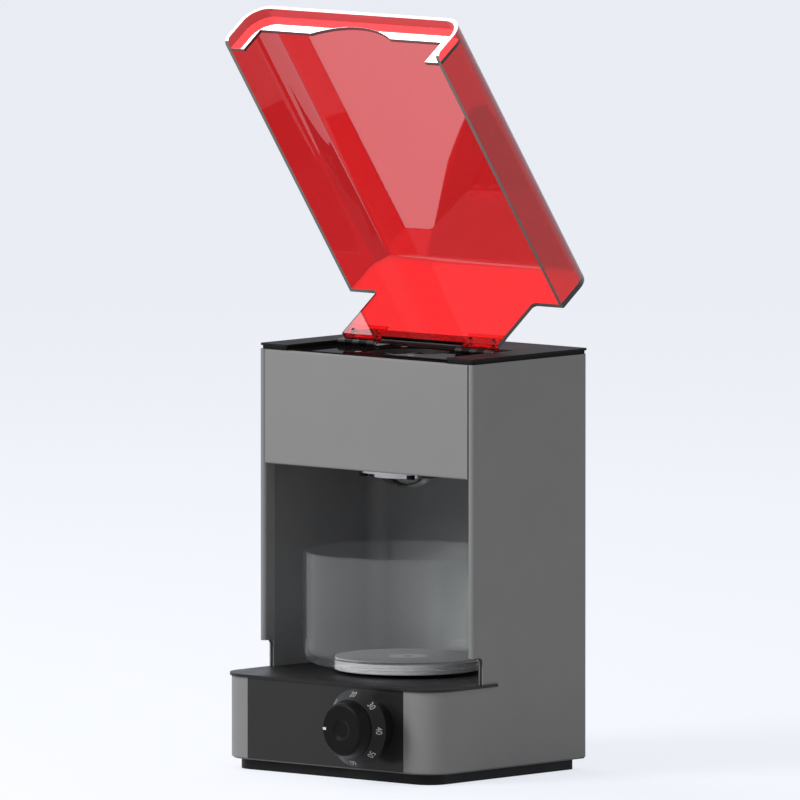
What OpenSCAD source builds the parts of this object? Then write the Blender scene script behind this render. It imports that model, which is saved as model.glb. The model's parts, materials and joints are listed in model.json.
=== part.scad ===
// Tabletop light-curing unit with a swing-up tinted hood
// Origin: centre of the base's footprint on the table. X to the right, Y to the back, Z up.
// The hood is drawn in its closed place and then swung open about its hinge pins.

/* [Body] */
// Width of the unit across its side walls
body_w = 202; // [196:1:230]
// Depth of the base from the control panel to the rear panel
body_d = 167; // [165:1:190]
// Height of the whole body, from the table to the top cover
body_h = 300; // [290:1:340]
// How far the base stands out in front of the tower
sill_d = 43; // [42:1:50]
// Height of the sheet-metal base box
base_h = 57.6; // [56:0.1:70]
// Radius of the base's front corners
corner_r = 22; // [12:1:26]
// Radius of the small rear corners
rear_r = 3; // [2:0.5:5]
// Height of the plinth
plinth_h = 7.8; // [6:0.1:12]
// How far the plinth is set in from the walls
plinth_inset = 7; // [4:0.5:12]
// Thickness of the plinth's upright wall
plinth_wall = 4; // [3:0.5:6]
// Thickness of the plinth's bottom
plinth_floor = 2.5; // [2:0.1:4]

/* [Sheet metal] */
// Thickness of the painted steel sheet
sheet_t = 1; // [0.8:0.1:1.2]
// Thickness of the chamber's inner lining
liner_t = 0.8; // [0.6:0.1:1]
// Width of the rolled front edge of each tower wall
nose_w = 5.2; // [4.6:0.1:7]
// Depth of the hem that turns back inside that edge
hem_d = 11; // [8:0.5:14]
// Width of the sheet's inner flanges
flange_w = 12; // [10:1:16]
// Height of the relief at the foot of each tower wall
notch_h = 19.5; // [12:0.1:26]
// Depth of that relief
notch_d = 11; // [8:0.5:14]
// Radius in the corner of that relief
notch_r = 4; // [2:0.5:6]
// Radius of the bends in the chamber's lining
liner_r = 12; // [4:1:20]
// Height of the tower's front panel
fascia_h = 81.5; // [78:0.1:90]
// Outer radius of a sheet bend
bend_r = 1.6; // [1.3:0.1:2.2]

/* [Floor plate] */
// Thickness of the black floor plate
floor_t = 2; // [1.2:0.1:3]
// How far the floor plate stands proud of the base
floor_lip = 1.3; // [0.6:0.1:2]
// How far the proud edge runs back along the tower walls
floor_slot_d = 26; // [16:1:40]

/* [Top covers] */
// Thickness of the glossy hinge deck
deck_t = 1; // [0.9:0.1:1.2]
// Thickness of the spacer between the deck and the top cover
spacer_t = 1.5; // [1.2:0.1:2]
// Thickness of the top cover
cover_t = 1.5; // [1.2:0.1:2]
// How far the deck and the spacer are set in from the top cover
cover_overhang = 1; // [0.5:0.1:2]
// Width of the recess that takes the hood's tongue
recess_w = 150; // [149:1:160]
// Depth of that recess
recess_d = 73.5; // [73:0.5:84]
// Radius of the vent opening over the fan
vent_r = 30; // [26:0.5:31]

/* [Control panel] */
// Width of the black panel
panel_w = 147; // [130:1:148]
// Distance of the timer from the middle of the panel
timer_x = 46; // [38:0.1:50]
// How far the timer's axis lies above the middle of the base box
timer_raise = 2.2; // [0:0.1:4]
// Radius of the dial's foot on the panel
dial_foot_r = 18.5; // [17:0.1:20]
// Radius of the dial's rim
dial_rim_r = 27.7; // [24:0.1:29]
// Distance from the panel to the dial's rim
dial_rim_out = 18.5; // [15:0.1:22]
// Distance from the panel to the dial's front
dial_front_out = 25.7; // [23.5:0.1:28]
// Radius of the grip where it meets the dial
grip_base_r = 20.7; // [18:0.1:22]
// Radius of the grip's face
grip_face_r = 19.2; // [16:0.1:20]
// Distance from the panel to the grip's face
grip_out = 35; // [33:0.1:42]
// Width and height of the timer's mechanism
timer_box_w = 42; // [36:1:44]
// Depth of the timer's mechanism
timer_box_d = 26; // [20:1:32]

/* [Turntable] */
// Distance of the turntable's axis behind the tower's front
table_back = 45.3; // [44:0.1:45.5]
// Radius of the turntable
table_r = 52; // [48:0.1:56]
// Thickness of the turntable
table_t = 7.4; // [6:0.1:9]
// Gap between the floor plate and the turntable
table_gap = 2.8; // [2.4:0.1:6]
// Radius of the cap in the turntable's middle
hub_cap_r = 14; // [10:0.5:18]
// Radius of the turntable motor
motor_r = 25; // [22:0.5:26]
// Height of the turntable motor
motor_h = 20; // [16:1:24]
// Radius of the motor's shaft
motor_shaft_r = 3.5; // [3:0.1:4]

/* [Glass dish] */
// Outer radius of the dish
dish_r = 74.5; // [66:0.5:74.5]
// Height of the dish
dish_h = 79.7; // [60:0.1:84]
// Thickness of the dish's wall
dish_wall = 3; // [2:0.1:4]
// Thickness of the dish's bottom
dish_floor_t = 3; // [2.5:0.1:5]
// Radius of the dish's lower edge
dish_edge_r = 8; // [5:0.5:9]
// Depth of the recess under the dish
dish_recess = 2.8; // [1:0.1:4]

/* [Lamp] */
// Radius of the lens
lens_r = 22; // [16:0.1:22]
// How far the lens bulges below its bezel
lens_bulge = 9.3; // [7:0.1:12]
// Outer radius of the bezel
bezel_r = 27.5; // [26:0.5:28]
// Radius of the bezel's mounting flange
bezel_flange_r = 36; // [35.5:0.5:38]
// Height of the bezel below the ceiling
bezel_h = 6.9; // [6:0.1:9]
// Distance of the bezel's screws from the lamp's axis
lamp_screw_ring = 31.4; // [31:0.1:32]
// Side of the heat sink
sink_w = 64; // [60:1:70]
// Height of the heat sink's fins
fin_h = 32; // [16:1:34]
// Number of fins
fin_count = 11; // [7:2:15]
// Thickness of one fin
fin_t = 1.6; // [1:0.1:2]

/* [Fan] */
// Side of the fan's frame
fan_w = 60; // [60:1:62]
// Height of the fan's frame
fan_h = 15; // [13:1:18]
// Distance between the fan's screws
fan_pitch = 50; // [50:0.5:51]
// Radius of the fan's hub
fan_hub_r = 12.5; // [10:0.5:15]
// Number of fan blades
blade_count = 7; // [5:1:9]

/* [Hood] */
// Depth of the hood's side walls
hood_d = 39.7; // [36:0.1:40]
// Thickness of the acrylic sheet
hood_t = 3; // [2.5:0.1:3.5]
// Outer radius of the hood's upright corners
hood_corner_r = 18; // [12:0.5:22]
// Outer radius of the bend between the hood's front and top
hood_bend_r = 7; // [5:0.5:14]
// Radius of the lower corners of the side walls
hood_tip_r = 5; // [2:0.5:8]
// Width of the tongue that reaches back to the hinges
tongue_w = 147; // [146:1:148]
// Radius in the tongue's shoulders
shoulder_r = 3.5; // [1:0.5:5]
// Width of the frame that closes the hood's lower end
frame_w = 15; // [8:0.5:18]
// Width of that frame's legs
frame_leg_w = 12.5; // [8:0.5:15]
// Thickness of that frame
frame_t = 2.5; // [2:0.1:4]
// Distance of that frame above the hood's lower end
frame_up = 7.3; // [5:0.1:14]
// Gap between the frame's arc and the dish
frame_clear = 2.5; // [2:0.5:6]
// Angle that the hood is swung open
open_angle = 144.2; // [0:0.1:158]

/* [Hinges] */
// Distance of the hinge pins behind the tower's front
hinge_back = 53.4; // [52:0.1:54]
// Distance from the tongue's end to the hinge pins
hinge_reach = 6.4; // [5:0.1:8]
// Distance of each hinge from the middle
hinge_x = 55.5; // [52:0.5:56]
// Length of a hinge
hinge_len = 34; // [30:1:35]
// Width of one hinge leaf, from the pin
leaf_w = 18; // [16:0.5:19]
// Thickness of a hinge leaf
leaf_t = 1; // [0.9:0.1:1.2]
// Outer radius of the knuckles
knuckle_r = 2; // [1.9:0.1:2.1]
// Radius of the hinge pins
pin_r = 1; // [0.8:0.1:1.1]
// Distance between the screws of one leaf
leaf_pitch = 22; // [16:1:24]
// Distance of the leaf's screws from the pin
leaf_screw_out = 11.5; // [10:0.5:13]

/* [Rear] */
// Distance of the mains inlet from the middle
inlet_x = -60; // [-70:1:-40]
// Width of the inlet's flange
inlet_w = 31; // [28:1:34]
// Height of the inlet's flange
inlet_h = 24; // [22:1:28]
// Number of air slots in a row of the rear panel
slot_count = 11; // [5:2:13]
// Width of one air slot
slot_w = 3; // [2:0.5:3]
// Length of one air slot
slot_len = 26; // [15:1:32]

/* [Fasteners] */
// Radius of a machine screw
screw_r = 1.3; // [1:0.1:1.5]
// Radius of its head
head_r = 2.6; // [2.3:0.1:3]
// Height of a pan head
head_h = 1.2; // [1:0.1:1.4]
// Radius of the bezel's socket screws
socket_r = 3; // [2.6:0.1:3.2]
// Height of their heads
socket_h = 3.3; // [2.5:0.1:3.5]

/* [Hidden] */
$fn = 96;

// Overrun of every cut, and the clearances
cut = 1;
fit_gap = 0.2;
seat_gap = 0.3;
run_gap = 0.05;

// Colours
paint = [0.47, 0.47, 0.48];
black = [0.09, 0.09, 0.1];
dark = [0.22, 0.22, 0.23];
steel = [0.72, 0.73, 0.75];
alloy = [0.78, 0.79, 0.81];
white = [0.95, 0.95, 0.93];
glass = [0.8, 0.86, 0.87, 0.4];
red = [0.85, 0.05, 0.06, 0.6];
board_green = [0.05, 0.3, 0.15];
brass = [0.75, 0.6, 0.3];

// Planes seen from above
half_w = body_w / 2;
y_front = -body_d / 2;
y_rear = body_d / 2;
y_tower = y_front + sill_d;
y_flange = y_rear - sheet_t;
y_table = y_tower + table_back;
y_pin = y_tower + hinge_back;

// Levels
z_box = plinth_h + sheet_t;
z_box_top = z_box + base_h;
z_floor = z_box_top + floor_t;
z_cover = body_h - cover_t;
z_spacer = z_cover - spacer_t;
z_deck = z_spacer - deck_t;
z_fascia = z_deck - fascia_h;
z_ceiling = z_fascia + sheet_t;
z_loft = z_ceiling + sheet_t;

// Rectangle in plan with one radius on its front corners and one on its rear corners
module plan(w, y0, y1, front_r, back_r) {
    translate([-w / 2, y0 + front_r]) square([w, y1 - back_r - y0 - front_r]);
    translate([-w / 2 + front_r, y0]) square([w - 2 * front_r, front_r]);
    translate([-w / 2 + back_r, y1 - back_r]) square([w - 2 * back_r, back_r]);
    for (side = [-1, 1]) {
        translate([side * (w / 2 - front_r), y0 + front_r]) circle(front_r);
        translate([side * (w / 2 - back_r), y1 - back_r]) circle(back_r);
    }
}

// Rectangle about the origin with one radius on all of its corners
module rounded(w, d, r) {
    plan(w, -d / 2, d / 2, r, r);
}

// A side profile drawn as depth and height, extruded across the unit
module across(width) {
    translate([-width / 2, 0, 0]) rotate([90, 0, 90]) linear_extrude(width) children();
}

// The same thing on both sides of the unit
module both_sides() {
    children();
    mirror([1, 0, 0]) children();
}

// A place at each corner of a square around the lamp's axis
module corners(pitch) {
    for (x = [-1, 1], y = [-1, 1]) translate([x * pitch / 2, y_table + y * pitch / 2, 0]) children();
}

// The axis of the timer: zero is the control panel's face, and up is out of the panel
module at_timer() {
    translate([timer_x, y_front, z_box + base_h / 2 + timer_raise]) rotate([90, 0, 0]) children();
}

// A pan-head screw: the head's seat is at zero and the shank points down
module pan_screw(shank) {
    difference() {
        union() {
            cylinder(r = head_r, h = head_h);
            translate([0, 0, -shank]) cylinder(r = screw_r, h = shank + head_h / 2);
        }
        drive_recess(head_h);
    }
}

// A countersunk screw: its face is at zero and the shank points down
flush_head_h = 0.9;
module flush_screw(shank) {
    difference() {
        union() {
            translate([0, 0, -flush_head_h]) cylinder(r1 = screw_r, r2 = head_r, h = flush_head_h);
            translate([0, 0, -shank]) cylinder(r = screw_r, h = shank - flush_head_h / 2);
        }
        drive_recess(0);
    }
}

// The hexagon recess in a screw's head
drive_r = 0.9;
drive_depth = 0.6;
module drive_recess(z) {
    translate([0, 0, z - drive_depth]) cylinder(r = drive_r, h = drive_depth + cut, $fn = 6);
}

// The hole for a countersunk screw: its face is at zero
module flush_hole(depth) {
    translate([0, 0, -flush_head_h])
        cylinder(r1 = screw_r + run_gap, r2 = head_r + run_gap, h = flush_head_h);
    translate([0, 0, -depth - cut]) cylinder(r = screw_r + run_gap, h = depth + 2 * cut);
}

// Painted steel wrap: round front corners below, tower walls with rolled front edges above
module outer_shell() {
    color(paint) difference() {
        union() {
            translate([0, 0, z_box]) linear_extrude(base_h) base_wrap();
            for (z = [z_box, z_box_top - sheet_t]) translate([0, 0, z]) linear_extrude(sheet_t)
                base_flange();
            translate([0, 0, z_box_top]) linear_extrude(z_deck - z_box_top) tower_wrap();
        }
        translate([-half_w - cut, y_tower - cut, z_box_top])
            cube([body_w + 2 * cut, floor_slot_d + seat_gap + cut, floor_t]);
        across(body_w + 2 * cut) wall_relief();
        rear_screw_places() cylinder(r = screw_r + run_gap, h = 2 * flange_w, center = true);
    }
}

// The base's walls in plan, with a step behind the control panel's edges
panel_step = 5;
panel_gap_w = panel_w + 2 * fit_gap;
module base_wrap() {
    difference() {
        plan(body_w, y_front, y_flange, corner_r, rear_r);
        plan(body_w - 2 * sheet_t, y_front + sheet_t, y_flange - sheet_t, corner_r - sheet_t,
            rear_r - sheet_t);
        translate([-panel_gap_w / 2, y_front - cut]) square([panel_gap_w, sheet_t + 2 * cut]);
        translate([-half_w + flange_w, y_flange - sheet_t - cut])
            square([body_w - 2 * flange_w, sheet_t + 2 * cut]);
    }
    both_sides() translate([panel_gap_w / 2 - panel_step, y_front + sheet_t])
        square([2 * panel_step, sheet_t]);
}

// The flange that runs round the inside of the base box
module base_flange() {
    difference() {
        plan(body_w - sheet_t, y_front + sheet_t, y_flange - sheet_t / 2, corner_r - sheet_t,
            rear_r - sheet_t);
        plan(body_w - 2 * flange_w, y_front + flange_w, y_flange - flange_w, rear_r, rear_r);
    }
}

// The tower's walls in plan: rolled edge and hem at the front, flange at the rear
nose_r = nose_w / 2;
module tower_wrap() {
    both_sides() {
        difference() {
            hem_outline(nose_r, 0);
            hem_outline(nose_r - sheet_t, cut);
        }
        translate([half_w - sheet_t, y_tower + nose_r])
            square([sheet_t, y_flange - rear_r - y_tower - nose_r]);
        translate([half_w - rear_r, y_flange - rear_r]) intersection() {
            difference() {
                circle(rear_r);
                circle(rear_r - sheet_t);
            }
            square(rear_r + cut);
        }
        translate([half_w - flange_w, y_flange - sheet_t]) square([flange_w - rear_r, sheet_t]);
    }
}

module hem_outline(r, extra) {
    translate([half_w - nose_r, y_tower + nose_r]) circle(r);
    translate([half_w - nose_r - r, y_tower + nose_r]) square([2 * r, hem_d - nose_r + extra]);
}

// The relief at the foot of a tower wall, with one rounded corner
module wall_relief() {
    z_top = z_floor + notch_h;
    translate([y_tower - cut, z_floor]) square([notch_d + cut, notch_h - notch_r]);
    translate([y_tower - cut, z_floor]) square([notch_d + cut - notch_r, notch_h]);
    translate([y_tower + notch_d - notch_r, z_top - notch_r]) circle(notch_r);
}

// Front panel of the tower: a shallow pan between the two rolled edges, in front of the lamp
fascia_gap = 0.1;
fascia_set = 0.2;
fascia_w = body_w - 2 * nose_w - 2 * fascia_gap;
fascia_d = table_back - bezel_flange_r - seat_gap - fascia_set;
module front_fascia() {
    color(paint) difference() {
        across(fascia_w) fascia_outline(0, bend_r, 0);
        across(fascia_w - 2 * sheet_t) fascia_outline(sheet_t, bend_r - sheet_t, cut);
    }
}

module fascia_outline(inset, r, extra) {
    y0 = y_tower + fascia_set + inset;
    y1 = y_tower + fascia_set + fascia_d + extra;
    z0 = z_fascia + inset;
    z1 = z_deck - inset;
    translate([y0, z0 + r]) square([y1 - y0, z1 - z0 - 2 * r]);
    translate([y0 + r, z0]) square([y1 - y0 - r, z1 - z0]);
    for (z = [z0 + r, z1 - r]) translate([y0 + r, z]) circle(r);
}

// Rear panel with its air slots, the inlet's cut-out and the screw holes
rear_w = body_w - 2 * rear_r;
rear_corner = 4;
slot_pitch_ratio = 2.4;
slot_row_down = 30;
slot_row_gap = 8;
inlet_wall = 2;
inlet_body_w = inlet_w - 2 * inlet_wall;
inlet_body_h = inlet_h - 2 * inlet_wall;
screw_column = half_w - (rear_r + flange_w) / 2;
screw_end = 9;
module rear_panel() {
    color(paint) difference() {
        translate([0, y_rear, 0]) rotate([90, 0, 0]) linear_extrude(sheet_t) difference() {
            translate([0, (z_box + z_deck) / 2]) rounded(rear_w, z_deck - z_box, rear_corner);
            for (row = [0, 1]) translate([0, z_deck - slot_row_down - row * (slot_len + slot_row_gap)])
                slot_row();
            translate([timer_x, z_box + base_h / 2]) slot_row();
            translate([inlet_x, z_box + base_h / 2])
                square([inlet_body_w + 2 * fit_gap, inlet_body_h + 2 * fit_gap], center = true);
        }
        rear_screw_places() cylinder(r = screw_r + run_gap, h = 2 * flange_w, center = true);
    }
}

module slot_row() {
    straight = slot_len - slot_w;
    for (i = [0 : slot_count - 1]) translate([(i - (slot_count - 1) / 2) * slot_pitch_ratio * slot_w, 0]) {
        square([slot_w, straight], center = true);
        for (end = [-1, 1]) translate([0, end * straight / 2]) circle(slot_w / 2);
    }
}

module rear_screw_places() {
    rows = [z_box + screw_end, z_ceiling + screw_end, z_deck - screw_end];
    for (z = rows, side = [-1, 1]) translate([side * screw_column, y_rear, z]) rotate([-90, 0, 0])
        children();
}

screw_len = 6;
module rear_panel_screws() {
    color(steel) rear_screw_places() pan_screw(screw_len);
}

// Black panel that carries the timer, flush between the ends of the steel wrap
bush_r = 5;
module control_panel() {
    color(black) difference() {
        translate([-panel_w / 2, y_front, z_box]) cube([panel_w, sheet_t, base_h]);
        at_timer() cylinder(r = bush_r + fit_gap, h = 2 * flange_w, center = true);
    }
}

// Bottom plate of the base box
plate_inset = 1;
module base_plate() {
    color(paint) difference() {
        translate([0, 0, plinth_h]) linear_extrude(sheet_t)
            plan(body_w - 2 * plate_inset, y_front + plate_inset, y_rear - plate_inset, corner_r, rear_r);
        plinth_places() cylinder(r = screw_r + run_gap, h = z_box + cut);
    }
}

// Plinth: a tray with four screw bosses, closed underneath
boss_r = 6;
boss_inset = 14;
screw_sink = 1.6;
module plinth() {
    color(black) difference() {
        union() {
            difference() {
                linear_extrude(plinth_h) plinth_plan(0);
                translate([0, 0, plinth_floor]) linear_extrude(plinth_h) plinth_plan(plinth_wall);
            }
            plinth_places() cylinder(r = boss_r, h = plinth_h);
        }
        plinth_places() translate([0, 0, -cut]) cylinder(r = screw_r + run_gap, h = plinth_h + 2 * cut);
        plinth_places() translate([0, 0, -cut]) cylinder(r = head_r + fit_gap, h = cut + screw_sink);
    }
}

module plinth_plan(inset) {
    d = plinth_inset + inset;
    plan(body_w - 2 * d, y_front + d, y_rear - d, max(corner_r - d, rear_r), rear_r);
}

module plinth_places() {
    for (side = [-1, 1], y = [y_front, y_rear])
        translate([side * (half_w - plinth_inset - boss_inset),
            y - sign(y) * (plinth_inset + boss_inset), 0])
            children();
}

module plinth_screws() {
    color(steel) plinth_places() translate([0, 0, screw_sink]) mirror([0, 0, 1]) pan_screw(plinth_h);
}

// Black floor of the curing chamber: its proud edge rides over the base and through the walls
shaft_room = 2;
shaft_hole_r = motor_shaft_r + shaft_room;
module floor_plate() {
    color(black) difference() {
        translate([0, 0, z_box_top]) linear_extrude(floor_t) union() {
            plan(body_w + 2 * floor_lip, y_front - floor_lip, y_tower + floor_slot_d,
                corner_r + floor_lip, fit_gap);
            plan(body_w - 2 * sheet_t - 2 * fit_gap, y_tower, y_flange - sheet_t - fit_gap, fit_gap, rear_r);
        }
        translate([0, y_table, 0]) cylinder(r = shaft_hole_r, h = body_h);
        motor_screw_places() cylinder(r = screw_r + run_gap, h = body_h);
    }
}

// Dark lining of the chamber: two sides that start behind the hems, and the rear wall
liner_tuck = 3;
liner_half = half_w - nose_w + sheet_t + seat_gap + liner_t;
module chamber_liner() {
    color(dark) difference() {
        translate([0, 0, z_floor]) linear_extrude(z_ceiling - z_floor) difference() {
            liner_plan(0, 0);
            liner_plan(liner_t, cut);
        }
        across(body_w + 2 * cut) wall_relief();
    }
}

module liner_plan(inset, extra) {
    w = 2 * (liner_half - inset);
    r = liner_r - inset;
    y0 = y_tower + hem_d - liner_tuck - extra;
    y1 = y_flange - sheet_t - inset;
    translate([-w / 2, y0]) square([w, y1 - r - y0]);
    translate([-w / 2 + r, y1 - r]) square([w - 2 * r, r]);
    for (side = [-1, 1]) translate([side * (w / 2 - r), y1 - r]) circle(r);
}

// Ceiling of the chamber, which carries the lamp and its driver
lens_lap = 1;
lamp_hole_r = lens_r - lens_lap;
module lamp_deck() {
    front_w = fascia_w - 2 * (sheet_t + fit_gap);
    y0 = y_tower + fascia_set + bend_r + fit_gap;
    y1 = y_tower + hem_d + fit_gap;
    y2 = y_flange - sheet_t - fit_gap;
    color(dark) difference() {
        translate([0, 0, z_ceiling]) linear_extrude(sheet_t) union() {
            translate([-front_w / 2, y0]) square([front_w, y2 - y0]);
            translate([-liner_half, y1]) square([2 * liner_half, y2 - y1]);
        }
        translate([0, y_table, 0]) cylinder(r = lamp_hole_r, h = body_h);
        lamp_screw_places() cylinder(r = screw_r + run_gap, h = body_h);
    }
}

// Glossy deck that carries the hinges and the fan
deck_front_set = 2;
module hinge_deck() {
    color(black) difference() {
        translate([0, 0, z_deck]) linear_extrude(deck_t) difference() {
            cover_plan(cover_overhang);
            translate([-recess_w / 2, y_tower - cut]) square([recess_w, deck_front_set + cut]);
            translate([0, y_table]) circle(vent_r);
        }
        translate([0, 0, z_spacer]) {
            corners(fan_pitch) flush_hole(deck_t);
            deck_screw_places() cylinder(r = screw_r + run_gap, h = 2 * flange_w, center = true);
        }
    }
}

cover_r = 3;
module cover_plan(inset) {
    plan(body_w - 2 * inset, y_tower + inset, y_rear - inset, cover_r, cover_r);
}

// The recess for the hood's tongue, open to the front, with a small lead-in at each side
recess_lead = 1.5;
module recess_plan(growth) {
    w = recess_w + 2 * growth;
    translate([-w / 2, y_tower - cut]) square([w, recess_d + growth + cut]);
    for (side = [-1, 1]) translate([side * w / 2, y_tower]) circle(recess_lead, $fn = 4);
}

module cover_spacer() {
    color(black) translate([0, 0, z_spacer]) linear_extrude(spacer_t) difference() {
        cover_plan(cover_overhang);
        recess_plan(cover_overhang);
    }
}

module top_cover() {
    color(black) translate([0, 0, z_cover]) linear_extrude(cover_t) difference() {
        cover_plan(0);
        recess_plan(0);
    }
}

// Polished bezel: a barrel round the lens and a flange under the ceiling
lens_flange_w = 2;
lens_flange_r = lens_r + lens_flange_w;
lens_flange_t = 2.4;
module lamp_bezel() {
    color(alloy) difference() {
        translate([0, y_table, z_ceiling - bezel_h]) {
            cylinder(r = bezel_r, h = bezel_h);
            translate([0, 0, socket_h]) cylinder(r = bezel_flange_r, h = bezel_h - socket_h);
        }
        translate([0, y_table, z_ceiling - bezel_h - cut])
            cylinder(r = lens_r + fit_gap, h = bezel_h + 2 * cut);
        translate([0, y_table, z_ceiling - lens_flange_t])
            cylinder(r = lens_flange_r + fit_gap, h = bezel_h);
        lamp_screw_places() cylinder(r = screw_r + run_gap, h = body_h);
    }
}

module lamp_screw_places() {
    for (angle = [45 : 90 : 315])
        translate([lamp_screw_ring * cos(angle), y_table + lamp_screw_ring * sin(angle), 0]) children();
}

// Socket-head screws that hold the bezel up against the ceiling
socket_hex_share = 0.55;
socket_depth_share = 0.6;
module lamp_screws() {
    color(black) lamp_screw_places() translate([0, 0, z_ceiling - bezel_h]) difference() {
        union() {
            cylinder(r = socket_r, h = socket_h);
            cylinder(r = screw_r, h = bezel_h + screw_len);
        }
        translate([0, 0, -cut])
            cylinder(r = socket_hex_share * socket_r, h = cut + socket_depth_share * socket_h, $fn = 6);
    }
}

// Lens: a shallow dome that bulges out of the bezel, with a flange held above it
lens_flat = 0.03;
module lamp_lens() {
    dome_r = (lens_r * lens_r + lens_bulge * lens_bulge) / (2 * lens_bulge);
    color(glass) translate([0, y_table, z_ceiling - bezel_h]) rotate_extrude() {
        intersection() {
            translate([0, dome_r - lens_bulge]) circle(dome_r);
            translate([0, lens_flat - lens_bulge]) square([lens_r, lens_bulge]);
        }
        square([lens_r, bezel_h]);
        translate([0, bezel_h - lens_flange_t]) square([lens_flange_r, lens_flange_t]);
    }
}

// Reflector between the light source and the lens
led_board_t = 1.6;
led_up = 16;
reflector_t = 1;
reflector_top_r = 13;
reflector_foot_r = 27;
z_led = z_loft + led_up;
module lamp_reflector() {
    color(alloy) translate([0, y_table, z_loft]) rotate_extrude() polygon([
        [lamp_hole_r, 0],
        [reflector_foot_r, 0],
        [reflector_foot_r, reflector_t],
        [lamp_hole_r + reflector_t, reflector_t],
        [reflector_top_r + reflector_t, led_up],
        [reflector_top_r, led_up]
    ]);
}

module led_board() {
    color(board_green) translate([0, y_table, z_led]) cylinder(r = lens_r, h = led_board_t);
}

// Light-emitting diodes under the board
chip_w = 3;
chip_t = 0.8;
chip_pitch = 5.5;
module led_chips() {
    color(white) for (x = [-1 : 1], y = [-1 : 1])
        translate([x * chip_pitch - chip_w / 2, y_table + y * chip_pitch - chip_w / 2, z_led - chip_t])
            cube([chip_w, chip_w, chip_t]);
}

// Hexagonal posts that hold the heat sink above the ceiling
post_r = 3;
post_edge = 5;
module lamp_posts() {
    color(steel) corners(sink_w - 2 * post_edge) translate([0, 0, z_loft])
        cylinder(r = post_r, h = led_up + led_board_t, $fn = 6);
}

// Heat sink: a base with upright fins
sink_base_t = 4;
module heat_sink() {
    color(alloy) translate([-sink_w / 2, y_table - sink_w / 2, z_led + led_board_t]) {
        cube([sink_w, sink_w, sink_base_t]);
        for (i = [0 : fin_count - 1])
            translate([i * (sink_w - fin_t) / (fin_count - 1), 0, 0])
                cube([fin_t, sink_w, sink_base_t + fin_h]);
    }
}

// Fan frame under the deck: round duct, motor mount, struts and the rotor's axle
fan_corner_r = 4;
fan_wall = 1.2;
strut_w = 3;
mount_t = 2.4;
axle_r = 1.5;
rotor_h = fan_h - 2 * mount_t;
rotor_bore = rotor_h - mount_t;
z_fan = z_deck - fan_h;
fan_bore_r = fan_w / 2 - fan_wall;
module fan_frame() {
    color(black) difference() {
        union() {
            difference() {
                translate([0, y_table, z_fan]) linear_extrude(fan_h) rounded(fan_w, fan_w, fan_corner_r);
                translate([0, y_table, z_fan - cut]) cylinder(r = fan_bore_r, h = fan_h + 2 * cut);
            }
            translate([0, y_table, z_fan]) {
                cylinder(r = fan_hub_r, h = mount_t);
                for (angle = [0, 90]) rotate(angle) translate([-fan_bore_r - fan_wall / 2, -strut_w / 2, 0])
                    cube([2 * fan_bore_r + fan_wall, strut_w, mount_t]);
                cylinder(r = axle_r, h = mount_t + rotor_bore);
            }
        }
        corners(fan_pitch) translate([0, 0, z_fan - cut])
            cylinder(r = screw_r + run_gap, h = fan_h + 2 * cut);
    }
}

module fan_screws() {
    color(steel) translate([0, 0, z_spacer]) corners(fan_pitch) flush_screw(screw_len);
}

// Fan rotor: hub and tilted blades, trimmed to a ring that clears the duct
blade_t = 1.2;
blade_tilt = 38;
module fan_rotor() {
    color(dark) translate([0, y_table, z_fan + mount_t + seat_gap]) difference() {
        union() {
            cylinder(r = fan_hub_r, h = rotor_h);
            intersection() {
                cylinder(r = fan_bore_r - fan_wall, h = rotor_h);
                for (i = [0 : blade_count - 1]) rotate(i * 360 / blade_count)
                    translate([fan_hub_r - fan_wall, 0, rotor_h / 2]) rotate([blade_tilt, 0, 0])
                        translate([0, -fan_h, -blade_t / 2]) cube([fan_w / 2, 2 * fan_h, blade_t]);
            }
        }
        translate([0, 0, -cut]) cylinder(r = axle_r + run_gap, h = rotor_bore + cut);
    }
}

// Driver of the lamp: a board on four posts at the side of the heat sink
driver_gap = 8.9;
driver_w = half_w - nose_w - sink_w / 2 - 2 * driver_gap;
driver_x = -sink_w / 2 - driver_gap - driver_w / 2;
driver_d = 80;
driver_up = 6;
driver_t = 1.6;
driver_post_inset = 5;
module at_driver(z) {
    translate([driver_x, y_table, z]) children();
}

module driver_board() {
    color(board_green) at_driver(z_loft + driver_up)
        translate([-driver_w / 2, -driver_d / 2, 0]) cube([driver_w, driver_d, driver_t]);
}

module driver_posts() {
    color(steel) at_driver(z_loft) for (x = [-1, 1], y = [-1, 1])
        translate([x * (driver_w / 2 - driver_post_inset), y * (driver_d / 2 - driver_post_inset), 0])
            cylinder(r = post_r, h = driver_up);
}

// Transformer, capacitors and terminals on that board
transformer_w = 24;
transformer_h = 22;
capacitor_r = 6;
capacitor_h = 20;
capacitor_pitch = 15;
terminal_w = 28;
terminal_d = 8;
terminal_h = 10;
module driver_parts() {
    color(dark) at_driver(z_loft + driver_up + driver_t) {
        translate([-transformer_w / 2, -transformer_w / 2, 0])
            cube([transformer_w, transformer_w, transformer_h]);
        for (side = [-1, 1]) translate([side * capacitor_pitch / 2, -transformer_w, 0])
            cylinder(r = capacitor_r, h = capacitor_h);
        translate([-terminal_w / 2, driver_d / 2 - 2 * terminal_d, 0])
            cube([terminal_w, terminal_d, terminal_h]);
    }
}

// Timer behind the panel: a square case and the threaded bush that passes through the panel
timer_shaft_r = 3;
bush_out = 8;
web_t = 2;
module timer_mechanism() {
    color(dark) at_timer() difference() {
        union() {
            translate([-timer_box_w / 2, -timer_box_w / 2, -sheet_t - timer_box_d])
                cube([timer_box_w, timer_box_w, timer_box_d]);
            translate([0, 0, -sheet_t - cut]) cylinder(r = bush_r, h = sheet_t + cut + bush_out);
        }
        translate([0, 0, -timer_box_d / 2])
            cylinder(r = timer_shaft_r + run_gap, h = timer_box_d + bush_out);
    }
}

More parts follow.
